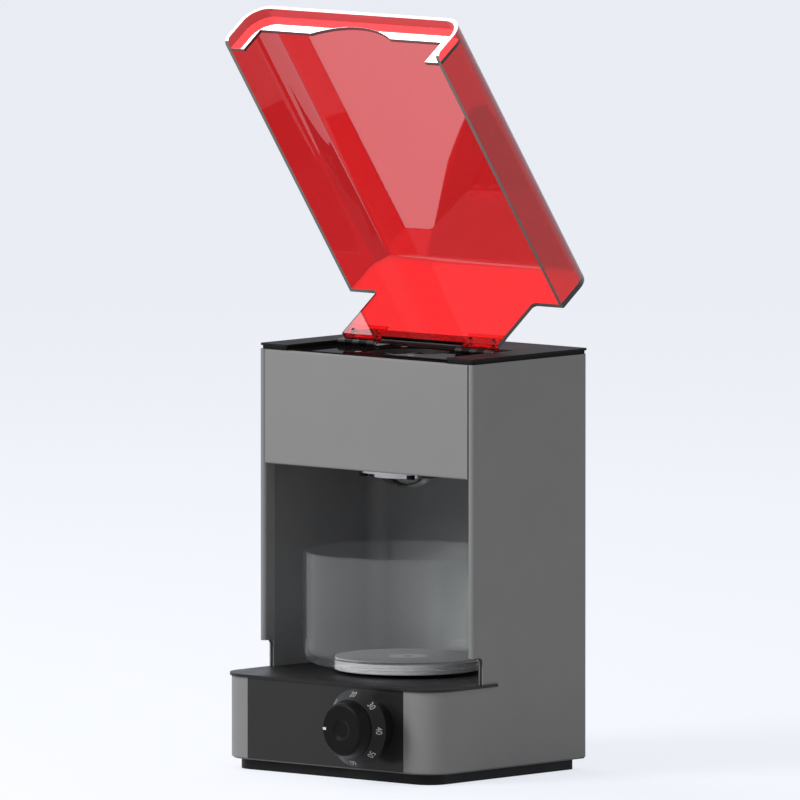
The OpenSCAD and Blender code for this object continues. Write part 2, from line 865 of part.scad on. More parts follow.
nut_r = 8;
nut_h = 3;
module timer_nut() {
    color(steel) at_timer() translate([0, 0, web_t]) difference() {
        cylinder(r = nut_r, h = nut_h, $fn = 6);
        translate([0, 0, -cut]) cylinder(r = bush_r + run_gap, h = nut_h + 2 * cut);
    }
}

// Fixed dial: a hollow cup with a flared rim, whose web the nut clamps to the panel
dial_wall = 3;
dial_foot_out = dial_rim_out - dial_wall;
dial_front_r = grip_base_r + fit_gap;
module timer_dial() {
    color(black) at_timer() rotate_extrude() polygon([
        [bush_r + fit_gap, 0],
        [dial_foot_r, 0],
        [dial_foot_r, dial_foot_out],
        [dial_rim_r, dial_rim_out],
        [dial_front_r, dial_front_out],
        [dial_front_r - dial_wall, dial_front_out],
        [dial_foot_r - dial_wall, dial_foot_out],
        [dial_foot_r - dial_wall, web_t],
        [bush_r + fit_gap, web_t]
    ]);
}

module timer_shaft() {
    color(steel) at_timer() translate([0, 0, -timer_box_d / 2 + run_gap])
        cylinder(r = timer_shaft_r, h = timer_box_d / 2 + grip_out - dial_wall);
}

// Grip that turns on the shaft: tapered, with a rounded edge and a shallow dimple
grip_gap = 0.8;
grip_edge_r = 3;
grip_hub_r = 9;
grip_hub_back = 12;
dimple_r = 8;
dimple_slope_w = 2.4;
dimple_depth = 0.9;
module timer_knob() {
    z0 = dial_front_out + grip_gap;
    color(black) at_timer() difference() {
        union() {
            rotate_extrude() {
                polygon([
                    [0, z0],
                    [grip_base_r, z0],
                    [grip_face_r, grip_out - grip_edge_r],
                    [grip_face_r - grip_edge_r, grip_out],
                    [0, grip_out]
                ]);
                translate([grip_face_r - grip_edge_r, grip_out - grip_edge_r]) intersection() {
                    circle(grip_edge_r);
                    square(grip_edge_r);
                }
            }
            translate([0, 0, grip_hub_back]) cylinder(r = grip_hub_r, h = z0 - grip_hub_back + cut);
        }
        translate([0, 0, grip_hub_back - cut])
            cylinder(r = timer_shaft_r + run_gap, h = grip_out - dial_wall - grip_hub_back + cut + fit_gap);
        translate([0, 0, grip_out - dimple_depth])
            cylinder(r1 = dimple_r - dimple_slope_w, r2 = dimple_r, h = dimple_depth);
        translate([0, 0, grip_out]) cylinder(r = dimple_r, h = cut);
        pointer_block(run_gap, cut);
    }
}

// White mark let into the edge of the grip's face
pointer_w = 1.9;
pointer_len = 5;
pointer_depth = 1.2;
pointer_rise = grip_edge_r - pointer_depth;
pointer_r = grip_face_r - grip_edge_r + sqrt(grip_edge_r * grip_edge_r - pointer_rise * pointer_rise) - fit_gap;
module pointer_block(gap, extra) {
    translate([-grip_face_r - extra, -pointer_w / 2 - gap, grip_out - pointer_depth - gap])
        cube([pointer_len + extra + gap, pointer_w + 2 * gap, pointer_depth + gap + extra]);
}

module knob_pointer() {
    color(white) at_timer() intersection() {
        pointer_block(0, 0);
        translate([0, 0, grip_out - pointer_depth])
            cylinder(r1 = pointer_r, r2 = grip_face_r - grip_edge_r, h = pointer_depth);
    }
}

// Turntable motor under the floor plate, with its ears and its shaft's bore
ear_w = 12;
ear_t = 1.5;
ear_reach = 8;
module turntable_motor() {
    color(steel) difference() {
        translate([0, y_table, z_box_top]) {
            translate([0, 0, -motor_h]) cylinder(r = motor_r, h = motor_h);
            translate([-motor_r - ear_reach, -ear_w / 2, -ear_t])
                cube([2 * (motor_r + ear_reach), ear_w, ear_t]);
        }
        translate([0, y_table, z_box_top - motor_h / 2]) cylinder(r = motor_shaft_r + run_gap, h = motor_h);
        motor_screw_places() cylinder(r = screw_r + run_gap, h = body_h);
    }
}

module motor_screw_places() {
    for (side = [-1, 1]) translate([side * (motor_r + ear_reach / 2), y_table, 0]) children();
}

module motor_screws() {
    color(steel) motor_screw_places() translate([0, 0, z_floor]) pan_screw(screw_len);
}

// Turning parts: shaft, disc with its boss, cap and the screw that holds the cap down
z_table = z_floor + table_gap;
z_table_top = z_table + table_t;
hub_cap_t = 2;
hub_boss_r = 10;
hub_boss_gap = 1;
z_shaft_top = z_table_top - hub_cap_t;
module motor_shaft() {
    z0 = z_box_top - motor_h / 2 + run_gap;
    color(steel) translate([0, y_table, z0]) difference() {
        cylinder(r = motor_shaft_r, h = z_shaft_top - z0);
        translate([0, 0, z_shaft_top - z0 - screw_len]) cylinder(r = screw_r + run_gap, h = screw_len + cut);
    }
}

module turntable_disc() {
    color(alloy) translate([0, y_table, 0]) difference() {
        union() {
            translate([0, 0, z_table]) cylinder(r = table_r, h = table_t);
            translate([0, 0, z_floor + hub_boss_gap]) cylinder(r = hub_boss_r, h = table_gap);
        }
        cylinder(r = motor_shaft_r + run_gap, h = body_h);
        translate([0, 0, z_shaft_top]) cylinder(r = hub_cap_r + fit_gap, h = body_h);
    }
}

module hub_cap() {
    color(alloy) translate([0, y_table, z_table_top]) difference() {
        translate([0, 0, -hub_cap_t]) cylinder(r = hub_cap_r, h = hub_cap_t);
        flush_hole(hub_cap_t);
    }
}

module hub_screw() {
    color(black) translate([0, y_table, z_table_top]) flush_screw(screw_len);
}

// Glass dish: its recessed bottom drops over the turntable
z_dish = z_table_top - dish_recess;
dish_play = 1.5;
dish_recess_r = table_r + dish_play;
module glass_dish() {
    inner_r = dish_r - dish_wall;
    z_rim = dish_h - dish_wall / 2;
    color(glass) translate([0, y_table, z_dish]) rotate_extrude() {
        difference() {
            dish_profile(dish_r, z_rim, dish_edge_r);
            square([dish_recess_r, dish_recess]);
            translate([0, dish_recess + dish_floor_t])
                dish_profile(inner_r, dish_h, dish_edge_r - dish_wall);
        }
        translate([dish_r - dish_wall / 2, z_rim]) intersection() {
            circle(dish_wall / 2);
            translate([-dish_wall, 0]) square([2 * dish_wall, dish_wall]);
        }
    }
}

module dish_profile(r, h, edge) {
    translate([0, edge]) square([r, h - edge]);
    square([r - edge, edge]);
    translate([r - edge, edge]) intersection() {
        circle(edge);
        translate([0, -edge]) square([edge, edge]);
    }
}

// Mains inlet in the rear panel, with its three contacts
inlet_flange_t = 2.5;
inlet_d = 22;
inlet_corner_r = 2;
socket_recess_d = 15;
pin_w = 2;
pin_h = 4;
pin_len = 14;
pin_side = 7;
pin_raise = 4;
module at_inlet() {
    translate([inlet_x, y_rear, z_box + base_h / 2]) rotate([90, 0, 180]) children();
}

module power_inlet() {
    color(black) at_inlet() difference() {
        union() {
            linear_extrude(inlet_flange_t) rounded(inlet_w, inlet_h, inlet_corner_r);
            translate([-inlet_body_w / 2, -inlet_body_h / 2, -inlet_d])
                cube([inlet_body_w, inlet_body_h, inlet_d + inlet_flange_t / 2]);
        }
        translate([0, 0, inlet_flange_t - socket_recess_d]) linear_extrude(socket_recess_d + cut)
            rounded(inlet_body_w - inlet_wall, inlet_body_h - inlet_wall, inlet_corner_r);
        contacts(run_gap);
    }
}

module contacts(gap) {
    for (spot = [[-pin_side, 0], [0, pin_raise], [pin_side, 0]])
        translate([spot.x - pin_w / 2 - gap, spot.y - pin_h / 2 - gap,
            inlet_flange_t - socket_recess_d - pin_w - gap])
            cube([pin_w + 2 * gap, pin_h + 2 * gap, pin_len + gap]);
}

module inlet_pins() {
    color(brass) at_inlet() contacts(0);
}

// Hinges. Each has five knuckles: three on the deck's leaf, two on the hood's leaf
z_pin = z_spacer + knuckle_r + 2 * fit_gap;
knuckle_count = 5;
knuckle_len = hinge_len / knuckle_count;
knuckle_gap = 0.15;
module hinge_knuckles(first) {
    for (i = [first : 2 : knuckle_count - 1])
        translate([i * knuckle_len - hinge_len / 2 + knuckle_gap, 0, 0]) rotate([0, 90, 0])
            cylinder(r = knuckle_r, h = knuckle_len - 2 * knuckle_gap);
}

// Room for the other leaf's knuckles
module knuckle_room(first) {
    reach = knuckle_r + seat_gap;
    for (i = [first : 2 : knuckle_count - 1])
        translate([i * knuckle_len - hinge_len / 2 - knuckle_gap, -reach, -2 * reach])
            cube([knuckle_len + 2 * knuckle_gap, 2 * reach, 4 * reach]);
}

module hinge_bore(gap) {
    translate([-hinge_len / 2 - cut, 0, 0]) rotate([0, 90, 0])
        cylinder(r = pin_r + gap, h = hinge_len + 2 * cut);
}

module hinge_places() {
    for (side = [-1, 1]) translate([side * hinge_x, y_pin, z_pin]) children();
}

module leaf_screw_places(y) {
    for (side = [-1, 1]) translate([side * leaf_pitch / 2, y, 0]) children();
}

module deck_screw_places() {
    for (side = [-1, 1]) translate([side * hinge_x, y_pin, 0]) leaf_screw_places(leaf_screw_out) children();
}

module deck_hinge_leaves() {
    z0 = z_spacer - z_pin;
    color(dark) hinge_places() difference() {
        union() {
            difference() {
                translate([-hinge_len / 2, 0, z0]) cube([hinge_len, leaf_w, leaf_t]);
                knuckle_room(1);
            }
            hinge_knuckles(0);
        }
        hinge_bore(run_gap);
        leaf_screw_places(leaf_screw_out) translate([0, 0, z0 + leaf_t]) flush_hole(leaf_t);
    }
}

module deck_hinge_screws() {
    color(dark) translate([0, 0, z_spacer + leaf_t]) deck_screw_places() flush_screw(screw_len);
}

module hinge_pins() {
    color(steel) hinge_places() translate([-hinge_len / 2, 0, 0]) rotate([0, 90, 0])
        cylinder(r = pin_r, h = hinge_len);
}

// Swings the closed hood open about its hinge pins
z_hood = z_spacer + seat_gap;
z_hood_top = z_hood + hood_t;
module swung() {
    translate([0, y_pin, z_pin]) rotate([-open_angle, 0, 0]) translate([0, -y_pin, -z_pin]) children();
}

module hood_hinge_leaves() {
    z0 = z_hood_top - z_pin;
    color(dark) swung() hinge_places() difference() {
        union() {
            difference() {
                translate([-hinge_len / 2, -leaf_w, z0]) cube([hinge_len, leaf_w, leaf_t]);
                knuckle_room(0);
            }
            hinge_knuckles(1);
        }
        hinge_bore(run_gap);
        leaf_screw_places(-leaf_screw_out) translate([0, 0, z0 + leaf_t]) flush_hole(leaf_t);
    }
}

module hood_screw_places() {
    for (side = [-1, 1]) translate([side * hinge_x, y_pin, z_hood_top + leaf_t])
        leaf_screw_places(-leaf_screw_out) children();
}

module hood_hinge_screws() {
    color(dark) swung() hood_screw_places() flush_screw(leaf_t + hood_t);
}

// Hood: a bent acrylic box, open below and behind, with a tongue back to the hinges
hood_foot_gap = 0.4;
z_hood_foot = z_floor + hood_foot_gap;
y_hood_back = y_tower - seat_gap;
y_hood_front = y_hood_back - hood_d;
module hood_shell() {
    color(red) swung() difference() {
        union() {
            difference() {
                hood_block(0, hood_corner_r, hood_bend_r, hood_tip_r, 0);
                hood_block(hood_t, hood_corner_r - hood_t, hood_bend_r - hood_t, 0, cut);
            }
            translate([0, 0, z_hood]) linear_extrude(hood_t) tongue_plan();
        }
        hood_screw_places() cylinder(r = screw_r + run_gap, h = 4 * hood_t, center = true);
    }
}

// The hood's outer or inner block: round corners in plan, a bend and round tips in the side view
module hood_block(inset, corner, bend, tip, extra) {
    w = body_w - 2 * inset;
    y0 = y_hood_front + inset;
    y1 = y_hood_back + extra;
    z0 = z_hood_foot - extra;
    z1 = z_hood_top - inset;
    intersection() {
        translate([0, 0, z0]) linear_extrude(z1 - z0) union() {
            translate([-w / 2, y0 + corner]) square([w, y1 - y0 - corner]);
            translate([-w / 2 + corner, y0]) square([w - 2 * corner, corner]);
            both_sides() translate([w / 2 - corner, y0 + corner]) circle(corner);
        }
        across(w) union() {
            translate([y0, z0 + tip]) square([y1 - y0, z1 - bend - z0 - tip]);
            translate([y0 + bend, z1 - 2 * bend]) square([y1 - y0 - bend, 2 * bend]);
            translate([y0 + bend, z1 - bend]) circle(bend);
            if (tip > 0) {
                translate([y0, z0]) square([y1 - y0 - tip, 2 * tip]);
                translate([y1 - tip, z0 + tip]) circle(tip);
            }
        }
    }
}

module tongue_plan() {
    y0 = y_hood_back - hood_t;
    translate([-tongue_w / 2, y0]) square([tongue_w, y_pin - hinge_reach - y0]);
    both_sides() translate([tongue_w / 2, y_hood_back]) difference() {
        square(shoulder_r);
        translate([shoulder_r, shoulder_r]) circle(shoulder_r);
    }
}

// Polished frame across the hood's lower end, cut out round the dish
frame_corner_slack = 1;
module hood_end_frame() {
    w = body_w - 2 * hood_t;
    y0 = y_hood_front + hood_t;
    color(alloy) swung() translate([0, 0, z_hood_foot + frame_up]) linear_extrude(frame_t) difference() {
        plan(w, y0, y_hood_back, hood_corner_r - hood_t + frame_corner_slack, frame_corner_slack);
        translate([-w / 2 + frame_leg_w, y0 + frame_w]) square([w - 2 * frame_leg_w, hood_d]);
        translate([0, y_table]) circle(dish_r + frame_clear);
    }
}

outer_shell();
front_fascia();
rear_panel();
rear_panel_screws();
control_panel();
base_plate();
plinth();
plinth_screws();
floor_plate();
chamber_liner();
lamp_deck();
hinge_deck();
cover_spacer();
top_cover();
lamp_bezel();
lamp_screws();
lamp_lens();
lamp_reflector();
led_board();
led_chips();
lamp_posts();
heat_sink();
fan_frame();
fan_screws();
fan_rotor();
driver_board();
driver_parts();
driver_posts();
timer_mechanism();
timer_nut();
timer_dial();
timer_shaft();
timer_knob();
knob_pointer();
turntable_motor();
motor_screws();
motor_shaft();
turntable_disc();
hub_cap();
hub_screw();
glass_dish();
power_inlet();
inlet_pins();
deck_hinge_leaves();
deck_hinge_screws();
hinge_pins();
hood_hinge_leaves();
hood_hinge_screws();
hood_shell();
hood_end_frame();
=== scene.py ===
# %% [markdown]
# # A light-curing unit for a dental laboratory
# The machine is a painted steel tower on a low base. A glass dish turns on a motor-driven
# table under a lamp, and a red acrylic hood keeps the curing light from the user's eyes.
# The frame holds every solid piece at its real size, in metres. This lesson dresses it:
# first the camera and the light, then the finishes, then the small printed and cut details.

# %% Load the frame
import bmesh, bpy, json, math
from mathutils import Matrix, Vector


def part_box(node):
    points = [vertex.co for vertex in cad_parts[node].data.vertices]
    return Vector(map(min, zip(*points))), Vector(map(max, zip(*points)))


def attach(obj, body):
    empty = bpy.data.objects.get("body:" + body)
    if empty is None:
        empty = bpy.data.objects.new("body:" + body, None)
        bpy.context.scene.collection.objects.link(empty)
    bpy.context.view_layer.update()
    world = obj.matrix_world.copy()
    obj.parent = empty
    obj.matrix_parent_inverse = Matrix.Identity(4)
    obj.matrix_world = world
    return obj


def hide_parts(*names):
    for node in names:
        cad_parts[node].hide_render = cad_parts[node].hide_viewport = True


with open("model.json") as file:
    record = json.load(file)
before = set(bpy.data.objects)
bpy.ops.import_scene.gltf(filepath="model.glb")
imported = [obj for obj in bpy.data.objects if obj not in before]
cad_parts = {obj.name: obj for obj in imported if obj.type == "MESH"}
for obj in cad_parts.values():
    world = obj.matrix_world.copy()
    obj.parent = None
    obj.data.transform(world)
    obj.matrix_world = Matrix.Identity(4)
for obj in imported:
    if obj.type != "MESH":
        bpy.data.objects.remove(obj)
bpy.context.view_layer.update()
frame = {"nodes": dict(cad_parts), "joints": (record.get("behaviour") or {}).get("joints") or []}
nodes = frame["nodes"]
mm = 0.001

# %% [markdown]
# ## Camera
# The picture was taken from the right and from slightly above, with a very long lens, so
# upright edges stay parallel. A camera that stands 20 metres away gives that look. Its lens
# follows from the scale: how many pixels of an 800-pixel picture one millimetre covers. The
# two shifts say, in the same pixels, how far the unit's middle lies from the picture's.

# %% Place the camera
azimuth, elevation, distance = math.radians(41.5), math.radians(5.29), 20.0
frame_pixels, pixels_per_mm, shift_right, shift_up = 800, 1.41, 3.02, 158.06
right = Vector((math.cos(azimuth), math.sin(azimuth), 0))
back = Vector((math.sin(azimuth) * math.cos(elevation), -math.cos(azimuth) * math.cos(elevation),
               math.sin(elevation)))
up = back.cross(right)
unit_middle = Vector((0, -0.5, 150)) * mm
aim = unit_middle + (up * shift_up - right * shift_right) * mm / pixels_per_mm
lens = bpy.data.cameras.new("photo_camera")
lens.sensor_width = 36
lens.lens = pixels_per_mm * distance / mm * lens.sensor_width / frame_pixels
lens.clip_start, lens.clip_end = 1, 60
camera = bpy.data.objects.new("photo_camera", lens)
bpy.context.scene.collection.objects.link(camera)
camera.location = aim + back * distance
camera.rotation_euler = back.to_track_quat("Z", "Y").to_euler()
bpy.context.scene.camera = camera
bpy.context.scene.view_settings.view_transform = "Standard"
print("lens", round(lens.lens), "mm")

# %% [markdown]
# ## Studio
# The unit stands on a near-white floor that runs on as the background. Two kinds of ray ask
# for two answers. Rays that the camera sees, also in a reflection or through the acrylic,
# should find an even pale tone with a faint shadow. Rays that carry light from the floor to
# the object should find plain white paper. Light Path tells the two apart.

# %% Helpers for node trees
def add(tree, kind, **values):
    node = tree.nodes.new(kind)
    for key, value in values.items():
        setattr(node, key, value)
    return node

def seen_share(tree):
    rays = add(tree, "ShaderNodeLightPath")
    share = rays.outputs["Is Camera Ray"]
    for name in ("Is Glossy Ray", "Is Transmission Ray"):
        either = add(tree, "ShaderNodeMath", operation="MAXIMUM")
        tree.links.new(share, either.inputs[0])
        tree.links.new(rays.outputs[name], either.inputs[1])
        share = either.outputs[0]
    return share

def blend_shaders(tree, lit, seen, end):
    mix = add(tree, "ShaderNodeMixShader")
    tree.links.new(seen_share(tree), mix.inputs[0])
    tree.links.new(lit, mix.inputs[1])
    tree.links.new(seen, mix.inputs[2])
    tree.links.new(mix.outputs[0], end.inputs["Surface"])

# %% World
room_tone = (0.871, 0.897, 0.972, 1)
world_light = 0.34
world = bpy.data.worlds.new("pale_room")
bpy.context.scene.world = world
world.use_nodes = True
tree = world.node_tree
tree.nodes.clear()
fill = add(tree, "ShaderNodeBackground")
fill.inputs["Color"].default_value = (1, 1, 1, 1)
fill.inputs["Strength"].default_value = world_light
seen = add(tree, "ShaderNodeBackground")
seen.inputs["Color"].default_value = room_tone
seen.inputs["Strength"].default_value = 1.0
blend_shaders(tree, fill.outputs[0], seen.outputs[0], add(tree, "ShaderNodeOutputWorld"))
print("world light", world_light)

# %% Floor
floor_reach, floor_glow, seen_albedo = 9, 0.81, 0.33
floor_mesh = bpy.data.meshes.new("floor")
corners = [(x * floor_reach, y * floor_reach, 0) for x, y in ((-1, -1), (1, -1), (1, 1), (-1, 1))]
floor_mesh.from_pydata(corners, [], [(0, 1, 2, 3)])
floor = bpy.data.objects.new("floor", floor_mesh)
bpy.context.scene.collection.objects.link(floor)
floor_paper = bpy.data.materials.new("floor_paper")
floor_paper.use_nodes = True
tree = floor_paper.node_tree
paper = tree.nodes["Principled BSDF"]
paper.inputs["Base Color"].default_value = (0.78, 0.78, 0.79, 1)
paper.inputs["Roughness"].default_value = 0.9
paper.inputs["Specular IOR Level"].default_value = 0.2
shade = add(tree, "ShaderNodeBsdfDiffuse")
shade.inputs["Color"].default_value = (seen_albedo, seen_albedo, seen_albedo, 1)
glow = add(tree, "ShaderNodeEmission")
glow.inputs["Color"].default_value = room_tone
glow.inputs["Strength"].default_value = floor_glow
both = add(tree, "ShaderNodeAddShader")
tree.links.new(shade.outputs[0], both.inputs[0])
tree.links.new(glow.outputs[0], both.inputs[1])
blend_shaders(tree, paper.outputs[0], both.outputs[0], tree.nodes["Material Output"])
floor_mesh.materials.append(floor_paper)
print("floor", 2 * floor_reach, "m wide")

# %% [markdown]
# ## Lamps
# One large soft lamp stands in front, to the left of the camera, so the front is brighter
# than the right-hand wall. A second one hangs high at the left behind the unit: polished
# metal that faces up and forward mirrors it and turns white.

# %% Soft lamps
def soft_lamp(name, where, size, watts, towards=(0, 0, 0.2)):
    data = bpy.data.lights.new(name, "AREA")
    data.size, data.energy = size, watts
    lamp = bpy.data.objects.new(name, data)
    bpy.context.scene.collection.objects.link(lamp)
    lamp.location = where
    lamp.rotation_euler = (Vector(where) - Vector(towards)).to_track_quat("Z", "Y").to_euler()

soft_lamp("key_lamp", (-0.8, -1.8, 1.4), 1.0, 27)
soft_lamp("high_lamp", (-1.75, 0.5, 2.2), 1.3, 12)
print("key and high lamp")

# %% [markdown]
# ## Shared effects
# Real surfaces are never one flat tone. Powder coat has a fine orange-peel skin, handled
# surfaces have faint smudges, and rolled or turned metal has fine lines along one direction.
# Each effect is a shader group, built once, and each finish sets its own numbers on it. Noise
# seldom leaves its middle values, so these are spread over the whole range that is asked for.

# %% Helpers for shader groups
noise_low, noise_high = 0.3, 0.7

def shader_group(name, inputs, outputs):
    tree = bpy.data.node_groups.new(name, "ShaderNodeTree")
    for label, kind, value in inputs:
        tree.interface.new_socket(label, in_out="INPUT", socket_type=kind).default_value = value
    for label, kind in outputs:
        tree.interface.new_socket(label, in_out="OUTPUT", socket_type=kind)
    return tree, add(tree, "NodeGroupInput"), add(tree, "NodeGroupOutput")

def feed(tree, socket, source):
    if hasattr(source, "is_linked"):
        tree.links.new(source, socket)
    else:
        socket.default_value = source

def noise(tree, scale, detail=3.0, stretch=(1, 1, 1)):
    place = add(tree, "ShaderNodeMapping")
    place.inputs["Scale"].default_value = stretch
    tree.links.new(add(tree, "ShaderNodeTexCoord").outputs["Object"], place.inputs["Vector"])
    texture = add(tree, "ShaderNodeTexNoise")
    texture.inputs["Detail"].default_value = detail
    tree.links.new(place.outputs[0], texture.inputs["Vector"])
    feed(tree, texture.inputs["Scale"], scale)
    return texture.outputs["Fac"]

def ranged(tree, value, low, high):
    change = add(tree, "ShaderNodeMapRange")
    change.inputs["From Min"].default_value = noise_low
    change.inputs["From Max"].default_value = noise_high
    feed(tree, change.inputs["Value"], value)
    feed(tree, change.inputs["To Min"], low)
    feed(tree, change.inputs["To Max"], high)
    return change.outputs[0]

# %% Two groups: a fine skin, and lines drawn out along one direction
def surface_group(name, tone_noise, rough_noise, height_noise, extra=()):
    sockets = [("Light Color", "NodeSocketColor", (0.3, 0.3, 0.3, 1)),
               ("Dark Color", "NodeSocketColor", (0.25, 0.25, 0.25, 1)),
               ("Roughness Low", "NodeSocketFloat", 0.35),
               ("Roughness High", "NodeSocketFloat", 0.5), *extra]
    results = [("Color", "NodeSocketColor"), ("Roughness", "NodeSocketFloat"),
               ("Height", "NodeSocketFloat")]
    tree, first, last = shader_group(name, sockets, results)
    blend = add(tree, "ShaderNodeMix", data_type="RGBA")
    feed(tree, blend.inputs["Factor"], ranged(tree, tone_noise(tree), 0.0, 1.0))
    feed(tree, blend.inputs["A"], first.outputs["Light Color"])
    feed(tree, blend.inputs["B"], first.outputs["Dark Color"])
    rough = ranged(tree, rough_noise(tree), first.outputs["Roughness Low"],
                   first.outputs["Roughness High"])
    feed(tree, last.inputs["Color"], blend.outputs["Result"])
    feed(tree, last.inputs["Roughness"], rough)
    feed(tree, last.inputs["Height"], height_noise(tree, first))
    return tree

cloud_scale, smudge_scale, smudge_detail, grain_detail = 14.0, 45.0, 5.0, 2.0
line_scale, line_detail, line_stretch = 220.0, 4.0, (0.06, 1.0, 1.0)

def clouds(tree):
    return noise(tree, cloud_scale)

def smudges(tree):
    return noise(tree, smudge_scale, smudge_detail)

def grain_height(tree, first):
    return noise(tree, first.outputs["Grain Scale"], grain_detail)

def lines(tree, first=None):
    return noise(tree, line_scale, line_detail, line_stretch)

grain_socket = ("Grain Scale", "NodeSocketFloat", 1500.0)
skin = surface_group("surface_skin", clouds, smudges, grain_height, (grain_socket,))
brushed = surface_group("brushed_lines", lines, lines, lines)
print("groups", skin.name, "and", brushed.name)

# %% [markdown]
# ## A finish
# A finish takes one of the two groups, two tones, a range of roughness, and how deep its grain
# is. A narrow bevel in the shader rounds the corners that light should catch.

# %% A finish made from one of the groups
bump_depth, bevel_samples = 0.2 * mm, 4

def grey(value, tint=0.0):
    return (value, value, value + tint)

def set_effect(tree, group, light, dark, rough):
    effect = add(tree, "ShaderNodeGroup", node_tree=group)
    effect.inputs["Light Color"].default_value = (*light, 1)
    effect.inputs["Dark Color"].default_value = (*dark, 1)
    effect.inputs["Roughness Low"].default_value = rough[0]
    effect.inputs["Roughness High"].default_value = rough[1]
    return effect

def finish(name, group, light, dark, rough, grain=None, metallic=0.0, bump=0.02, coat=0.0,
           specular=0.5, soft_edge=0.4 * mm, own_light=0.0):
    material = bpy.data.materials.new(name)
    material.use_nodes = True
    tree = material.node_tree
    shader = tree.nodes["Principled BSDF"]
    effect = set_effect(tree, group, light, dark, rough)
    if grain:
        effect.inputs["Grain Scale"].default_value = grain
    raised = add(tree, "ShaderNodeBump")
    raised.inputs["Strength"].default_value = bump
    raised.inputs["Distance"].default_value = bump_depth
    if soft_edge:
        edge = add(tree, "ShaderNodeBevel", samples=bevel_samples)
        edge.inputs["Radius"].default_value = soft_edge
        tree.links.new(edge.outputs[0], raised.inputs["Normal"])
    tree.links.new(effect.outputs["Height"], raised.inputs["Height"])
    tree.links.new(raised.outputs[0], shader.inputs["Normal"])
    tree.links.new(effect.outputs["Color"], shader.inputs["Base Color"])
    tree.links.new(effect.outputs["Roughness"], shader.inputs["Roughness"])
    shader.inputs["Metallic"].default_value = metallic
    shader.inputs["Coat Weight"].default_value = coat
    shader.inputs["Specular IOR Level"].default_value = specular
    shader.inputs["Emission Color"].default_value = (1, 1, 1, 1)
    shader.inputs["Emission Strength"].default_value = own_light
    material.diffuse_color = (*light, 1)
    return material

# %% [markdown]
# ## Painted and moulded finishes
# The wrap and the front panel are powder coated in a mid grey with a low sheen. The floor
# plate, the plinth and the top cover are black. The chamber's lining is a darker grey, and
# part of that darkness is painted shade for the dim inside of the chamber.
# The control panel and the hinge deck are glossy black sheet. The grip and its dial are
# moulded, with a fine texture.

# %% Paints
gray_powder = finish("gray_powder_coat", skin, grey(0.285), grey(0.272), (0.45, 0.58), 1700,
                     bump=0.07, specular=0.3)
black_powder = finish("black_powder_coat", skin, grey(0.014), grey(0.011), (0.4, 0.52), 1700,
                      bump=0.08, specular=0.25)
cover_powder = finish("cover_powder_coat", skin, grey(0.026), grey(0.022), (0.5, 0.6), 1700,
                      bump=0.06, specular=0.04)
plinth_powder = finish("plinth_powder_coat", skin, grey(0.009), grey(0.007), (0.5, 0.6), 1700,
                       bump=0.08, specular=0.15)
# Painted shade in part: the lining's grey is darker than the wrap's, for the dim inside of the chamber.
liner_paint_and_shade = finish("chamber_paint_and_shade", skin, grey(0.225), grey(0.205), (0.5, 0.65), 1700,
                     bump=0.06, specular=0.25)
panel_gloss = finish("panel_gloss", skin, grey(0.031), grey(0.028), (0.2, 0.28), 900,
                     bump=0.01, specular=0.2)
deck_gloss = finish("deck_gloss", skin, grey(0.008), grey(0.006), (0.06, 0.12), 900, bump=0.004,
                    specular=0.0, coat=0.15)
print(len(bpy.data.materials), "finishes so far")

# %% Plastics, boards and oxide
knob_plastic = finish("knob_plastic", skin, grey(0.006), grey(0.0045), (0.34, 0.44), 2600,
                      bump=0.05, specular=0.09)
dial_plastic = finish("dial_plastic", skin, grey(0.014), grey(0.012), (0.34, 0.44), 2600,
                      bump=0.05, specular=0.15)
black_plastic = finish("black_plastic", skin, grey(0.022), grey(0.018), (0.4, 0.55), 2200, bump=0.08)
white_plastic = finish("white_plastic", skin, grey(0.82), grey(0.78), (0.35, 0.5), 2200, bump=0.03)
board_lacquer = finish("board_lacquer", skin, (0.02, 0.16, 0.07), (0.015, 0.12, 0.05), (0.25, 0.4),
                       700, bump=0.05)
black_oxide = finish("black_oxide", skin, grey(0.02), grey(0.014), (0.3, 0.45), 2200,
                     metallic=0.4, bump=0.05)
screw_black = finish("screw_black", skin, grey(0.004), grey(0.003), (0.4, 0.5), 2200, specular=0.1)
number_ink = finish("number_ink", skin, grey(0.5), grey(0.44), (0.4, 0.55), 2600, soft_edge=0)
print(len(bpy.data.materials), "finishes so far")

# %% [markdown]
# ## Metals
# Bare metal takes its look from what it mirrors, so its grain shows as fine changes of
# roughness along the rolling direction. Chrome is nearly smooth. The turntable's disc and its
# cap are satin anodised, and their look comes from the pale oxide alone.

# %% Metals
bare_alloy = finish("bare_alloy", brushed, grey(0.66, 0.01), grey(0.58, 0.01), (0.28, 0.42),
                    metallic=1.0, bump=0.03)
table_alloy = finish("table_alloy", skin, grey(0.44), grey(0.43), (0.5, 0.6), 1700, bump=0.004,
                     specular=0.3)
cap_alloy = finish("cap_alloy", skin, grey(0.62), grey(0.6), (0.4, 0.5), 1700, bump=0.004)
zinc_steel = finish("zinc_steel", brushed, grey(0.55, 0.01), grey(0.48, 0.01), (0.28, 0.42),
                    metallic=1.0, bump=0.03)
chrome = finish("chrome_plate", brushed, grey(0.88), grey(0.84), (0.04, 0.09), metallic=1.0,
                bump=0.004)
bezel_chrome = finish("bezel_chrome", brushed, grey(0.42), grey(0.34), (0.1, 0.2), metallic=1.0,
                      bump=0.01)
brass = finish("brass_contacts", brushed, (0.72, 0.52, 0.22), (0.64, 0.45, 0.18), (0.22, 0.35),
               metallic=1.0)
print(len(bpy.data.materials), "finishes so far")
